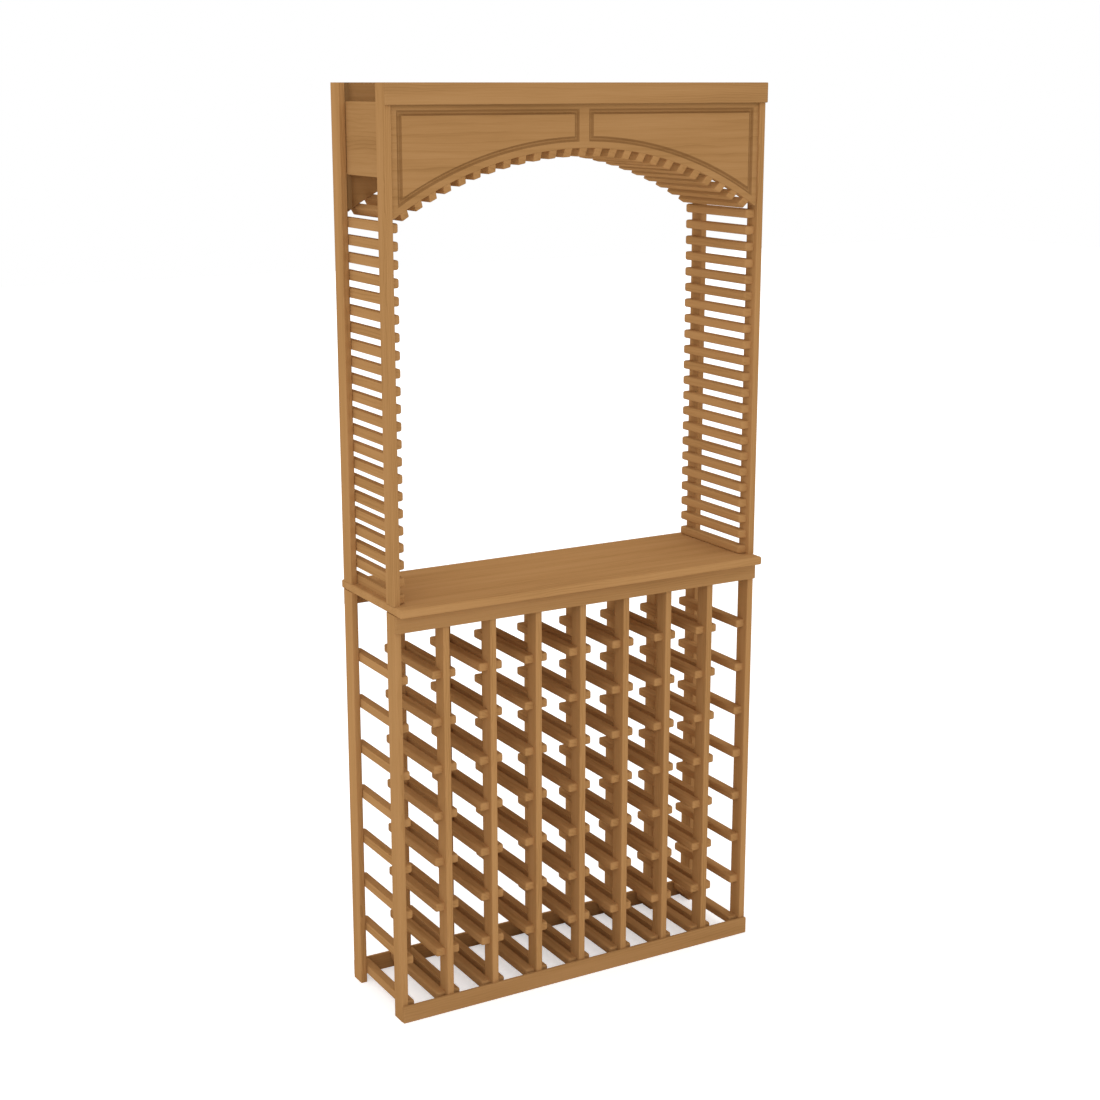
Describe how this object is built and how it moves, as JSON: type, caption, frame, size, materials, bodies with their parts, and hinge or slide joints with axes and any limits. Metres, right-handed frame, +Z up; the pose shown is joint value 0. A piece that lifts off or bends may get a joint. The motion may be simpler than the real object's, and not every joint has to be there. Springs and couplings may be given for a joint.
{
  "type": "tasting table with bottle rack and arch",
  "caption": "Wooden tasting table: a bottle rack of railed columns carries a narrow table top, and a slatted arch with a panelled header stands on it.",
  "frame": {"origin": "on the floor, in the middle of the part's outer box", "axes": "+Z up; the front faces -Y; +X to the right seen from the front"},
  "size_m": [0.881, 0.287, 1.921],
  "materials": {
    "post_wood": "oiled, honey-stained softwood, satin, grain along the post",
    "slat_wood": "oiled, honey-stained softwood, satin, grain along the bar",
    "strip_wood": "oiled, honey-stained softwood, satin, grain along the strip",
    "board_wood": "oiled, honey-stained softwood, satin, grain across the board",
    "table_wood": "oiled, honey-stained softwood, satin, grain along the table",
    "batten_wood": "plain sawn softwood, unfinished inside",
    "dowel": "turned beech, unfinished",
    "nail_steel": "bright drawn wire",
    "screw_steel": "zinc plated"
  },
  "bodies": {
    "root": {"arch_post_back_left": "post_wood", "arch_post_back_right": "post_wood", "arch_post_dowels": "dowel", "arch_post_front_left": "post_wood", "arch_post_front_right": "post_wood", "arch_slats": "slat_wood", "back_apron": "strip_wood", "back_base_strip": "strip_wood", "back_post_1": "post_wood", "back_post_2": "post_wood", "back_post_3": "post_wood", "back_post_4": "post_wood", "back_post_5": "post_wood", "back_post_6": "post_wood", "back_post_7": "post_wood", "back_post_8": "post_wood", "back_post_9": "post_wood", "back_strip_nails": "nail_steel", "back_valance": "board_wood", "bottle_rails_1_right": "slat_wood", "bottle_rails_2_left": "slat_wood", "bottle_rails_2_right": "slat_wood", "bottle_rails_3_left": "slat_wood", "bottle_rails_3_right": "slat_wood", "bottle_rails_4_left": "slat_wood", "bottle_rails_4_right": "slat_wood", "bottle_rails_5_left": "slat_wood", "bottle_rails_5_right": "slat_wood", "bottle_rails_6_left": "slat_wood", "bottle_rails_6_right": "slat_wood", "bottle_rails_7_left": "slat_wood", "bottle_rails_7_right": "slat_wood", "bottle_rails_8_left": "slat_wood", "bottle_rails_8_right": "slat_wood", "bottle_rails_9_left": "slat_wood", "cleat_screws_left": "screw_steel", "cleat_screws_right": "screw_steel", "end_board_dowels": "dowel", "end_board_left": "board_wood", "end_board_right": "board_wood", "fascia_nails": "nail_steel", "front_apron": "strip_wood", "front_base_strip": "strip_wood", "front_post_1": "post_wood", "front_post_2": "post_wood", "front_post_3": "post_wood", "front_post_4": "post_wood", "front_post_5": "post_wood", "front_post_6": "post_wood", "front_post_7": "post_wood", "front_post_8": "post_wood", "front_post_9": "post_wood", "front_strip_nails": "nail_steel", "front_valance": "board_wood", "side_slats_left": "slat_wood", "side_slats_right": "slat_wood", "table_dowels": "dowel", "table_top": "table_wood", "top_fascia": "strip_wood", "valance_cleats": "batten_wood"}
  },
  "joints": []
}
